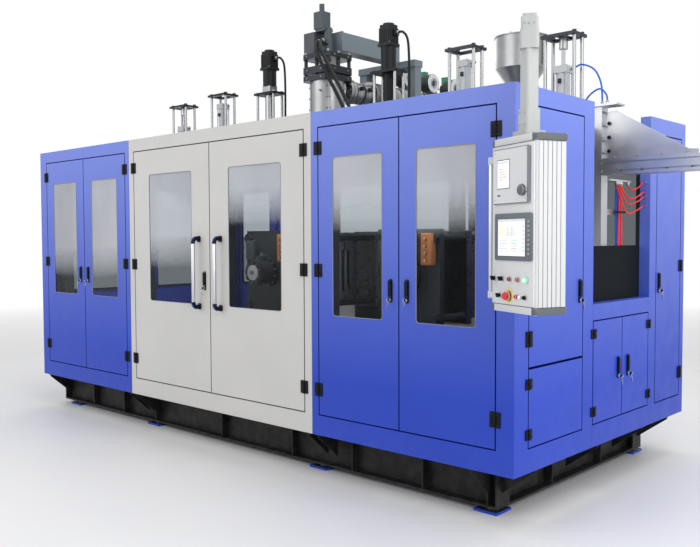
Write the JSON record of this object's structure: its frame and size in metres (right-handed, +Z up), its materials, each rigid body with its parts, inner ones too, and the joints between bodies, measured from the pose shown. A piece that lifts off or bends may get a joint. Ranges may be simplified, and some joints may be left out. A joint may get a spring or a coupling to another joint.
{
  "type": "blow moulding machine",
  "caption": "Extrusion blow moulding machine with windowed sheet cabinet, clamp carriages, die head, extruder with hopper, pin units and hanging control pendant.",
  "frame": {"origin": "on the floor under the centre of the cabinet, in the middle of the anchor hole pattern", "axes": "+X towards the take-out end, +Y away from the operator's doors towards the extruder drive, +Z up"},
  "size_m": [6.182, 6.1845, 3.98],
  "materials": {
    "base_black": "satin",
    "cabinet_blue": "satin",
    "cabinet_grey": "satin",
    "frame_dark": "matte",
    "deck_grey": "matte",
    "bright_steel": "brushed",
    "rod_chrome": "polished",
    "flange_black": "satin",
    "control_grey": "satin",
    "gantry_grey": "satin",
    "barrel_steel": "satin",
    "drive_blue": "satin",
    "servo_black": "satin",
    "cylinder_alu": "satin",
    "mould_alu": "machined",
    "hose_black": "matte",
    "hose_blue": "gloss",
    "window": "clear",
    "button_red": "gloss"
  },
  "bodies": {
    "machine": {"base_frame": "base_black", "levelling_feet": "base_black", "left_housing": "cabinet_blue", "centre_housing": "cabinet_grey", "right_housing": "cabinet_blue", "outlet_housing": "cabinet_blue", "cover_panels": "cabinet_blue", "cover_panes": "window", "hinge_leaves": "base_black", "machine_frame": "frame_dark", "shuttle_rails": "bright_steel", "top_deck": "deck_grey", "die_head": "bright_steel", "head_flanges": "flange_black", "parison_cylinder": "control_grey", "head_gantry": "gantry_grey", "extruder_barrel": "barrel_steel", "barrel_blowers": "servo_black", "extruder_drive": "drive_blue", "hopper": "bright_steel", "extruder_stand": "gantry_grey", "air_cylinders": "cylinder_alu", "servo_units": "servo_black", "takeout_bracket": "cylinder_alu", "takeout_beam": "cylinder_alu", "head_hoses": "hose_black", "air_hoses": "hose_blue"},
    "left_outer_door": {"door_left_outer": "cabinet_blue", "pane_left_outer": "window"},
    "left_inner_door": {"door_left_inner": "cabinet_blue", "pane_left_inner": "window"},
    "centre_left_door": {"door_centre_left": "cabinet_grey", "pane_centre_left": "window", "pull_handle_left": "cylinder_alu"},
    "centre_right_door": {"door_centre_right": "cabinet_grey", "pane_centre_right": "window", "pull_handle_right": "cylinder_alu"},
    "right_inner_door": {"door_right_inner": "cabinet_blue", "pane_right_inner": "window"},
    "right_outer_door": {"door_right_outer": "cabinet_blue", "pane_right_outer": "window"},
    "upper_end_door": {"end_door_upper": "cabinet_blue"},
    "lower_end_door": {"end_door_lower": "cabinet_blue"},
    "front_outlet_door": {"outlet_door_front": "cabinet_blue"},
    "rear_outlet_door": {"outlet_door_rear": "cabinet_blue"},
    "far_column_door": {"column_door": "cabinet_blue"},
    "boom": {"pendant_boom": "cylinder_alu"},
    "pendant": {"pendant_post": "cylinder_alu", "pendant_box": "cylinder_alu"},
    "stop_head": {"stop_button": "button_red"},
    "left_shuttle": {"left_carriage": "frame_dark"},
    "right_shuttle": {"right_carriage": "frame_dark"},
    "left_front_half": {"left_front_mould": "mould_alu"},
    "left_rear_half": {"left_rear_mould": "mould_alu"},
    "right_front_half": {"right_front_mould": "mould_alu"},
    "right_rear_half": {"right_rear_mould": "mould_alu"},
    "left_pin_lift": {"left_pin_frame": "rod_chrome"},
    "left_punch_lift": {"left_punch_frame": "rod_chrome"},
    "right_pin_lift": {"right_pin_frame": "rod_chrome"},
    "right_punch_lift": {"right_punch_frame": "rod_chrome"}
  },
  "joints": [
    {"name": "left_outer_door_swing", "type": "hinge", "parent": "machine", "child": "left_outer_door", "pos_m": [-2.603, -1.223, 1.44], "axis": [0, 0, -1], "range_deg": [0, 90]},
    {"name": "left_inner_door_swing", "type": "hinge", "parent": "machine", "child": "left_inner_door", "pos_m": [-1.192, -1.223, 1.44], "axis": [0, 0, 1], "range_deg": [0, 90]},
    {"name": "centre_left_door_swing", "type": "hinge", "parent": "machine", "child": "centre_left_door", "pos_m": [-1.051, -1.223, 1.44], "axis": [0, 0, -1], "range_deg": [0, 90]},
    {"name": "centre_right_door_swing", "type": "hinge", "parent": "machine", "child": "centre_right_door", "pos_m": [1.051, -1.223, 1.44], "axis": [0, 0, 1], "range_deg": [0, 90]},
    {"name": "right_inner_door_swing", "type": "hinge", "parent": "machine", "child": "right_inner_door", "pos_m": [1.192, -1.223, 1.44], "axis": [0, 0, -1], "range_deg": [0, 90]},
    {"name": "right_outer_door_swing", "type": "hinge", "parent": "machine", "child": "right_outer_door", "pos_m": [2.603, -1.223, 1.44], "axis": [0, 0, 1], "range_deg": [0, 90]},
    {"name": "upper_end_door_swing", "type": "hinge", "parent": "machine", "child": "upper_end_door", "pos_m": [2.733, -1.063, 1.64], "axis": [0, 0, -1], "range_deg": [0, 90]},
    {"name": "lower_end_door_swing", "type": "hinge", "parent": "machine", "child": "lower_end_door", "pos_m": [2.733, -1.063, 0.68], "axis": [0, 0, -1], "range_deg": [0, 90]},
    {"name": "front_outlet_door_swing", "type": "hinge", "parent": "machine", "child": "front_outlet_door", "pos_m": [2.733, -0.27, 0.79], "axis": [0, 0, -1], "range_deg": [0, 95]},
    {"name": "rear_outlet_door_swing", "type": "hinge", "parent": "machine", "child": "rear_outlet_door", "pos_m": [2.733, 0.571, 0.79], "axis": [0, 0, 1], "range_deg": [0, 95]},
    {"name": "far_column_door_swing", "type": "hinge", "parent": "machine", "child": "far_column_door", "pos_m": [2.733, 1.143, 1.44], "axis": [0, 0, 1], "range_deg": [0, 95]},
    {"name": "boom_swing", "type": "hinge", "parent": "machine", "child": "boom", "pos_m": [2.654, -0.953, 2.6], "axis": [0, 0, 1], "range_deg": [-50, 80]},
    {"name": "pendant_turn", "type": "hinge", "parent": "boom", "child": "pendant", "pos_m": [2.97054, -1.48611, 2.4], "axis": [0, 0, 1], "range_deg": [-90, 90]},
    {"name": "stop_press", "type": "slide", "parent": "pendant", "child": "stop_head", "axis": [0.4163, 0.9092, 0], "range_m": [0, 0.004], "stiffness_N_per_m": 900},
    {"name": "left_shuttle_travel", "type": "slide", "parent": "machine", "child": "left_shuttle", "axis": [1, 0, 0], "range_m": [-1.47, 0]},
    {"name": "right_shuttle_travel", "type": "slide", "parent": "machine", "child": "right_shuttle", "axis": [1, 0, 0], "range_m": [-1.47, 0]},
    {"name": "left_front_half_close", "type": "slide", "parent": "left_shuttle", "child": "left_front_half", "axis": [0, 1, 0], "range_m": [0, 0.15]},
    {"name": "left_rear_half_close", "type": "slide", "parent": "left_shuttle", "child": "left_rear_half", "axis": [0, -1, 0], "range_m": [0, 0.15]},
    {"name": "right_front_half_close", "type": "slide", "parent": "right_shuttle", "child": "right_front_half", "axis": [0, 1, 0], "range_m": [0, 0.15]},
    {"name": "right_rear_half_close", "type": "slide", "parent": "right_shuttle", "child": "right_rear_half", "axis": [0, -1, 0], "range_m": [0, 0.15]},
    {"name": "left_pin_stroke", "type": "slide", "parent": "machine", "child": "left_pin_lift", "axis": [0, 0, -1], "range_m": [0, 0.2]},
    {"name": "left_punch_stroke", "type": "slide", "parent": "machine", "child": "left_punch_lift", "axis": [0, 0, -1], "range_m": [0, 0.1]},
    {"name": "right_pin_stroke", "type": "slide", "parent": "machine", "child": "right_pin_lift", "axis": [0, 0, -1], "range_m": [0, 0.2]},
    {"name": "right_punch_stroke", "type": "slide", "parent": "machine", "child": "right_punch_lift", "axis": [0, 0, -1], "range_m": [0, 0.1]}
  ],
  "couplings": [
    {"joint": "right_shuttle_travel", "follows": "left_shuttle_travel", "ratio": 1},
    {"joint": "left_rear_half_close", "follows": "left_front_half_close", "ratio": 1},
    {"joint": "right_rear_half_close", "follows": "right_front_half_close", "ratio": 1}
  ]
}
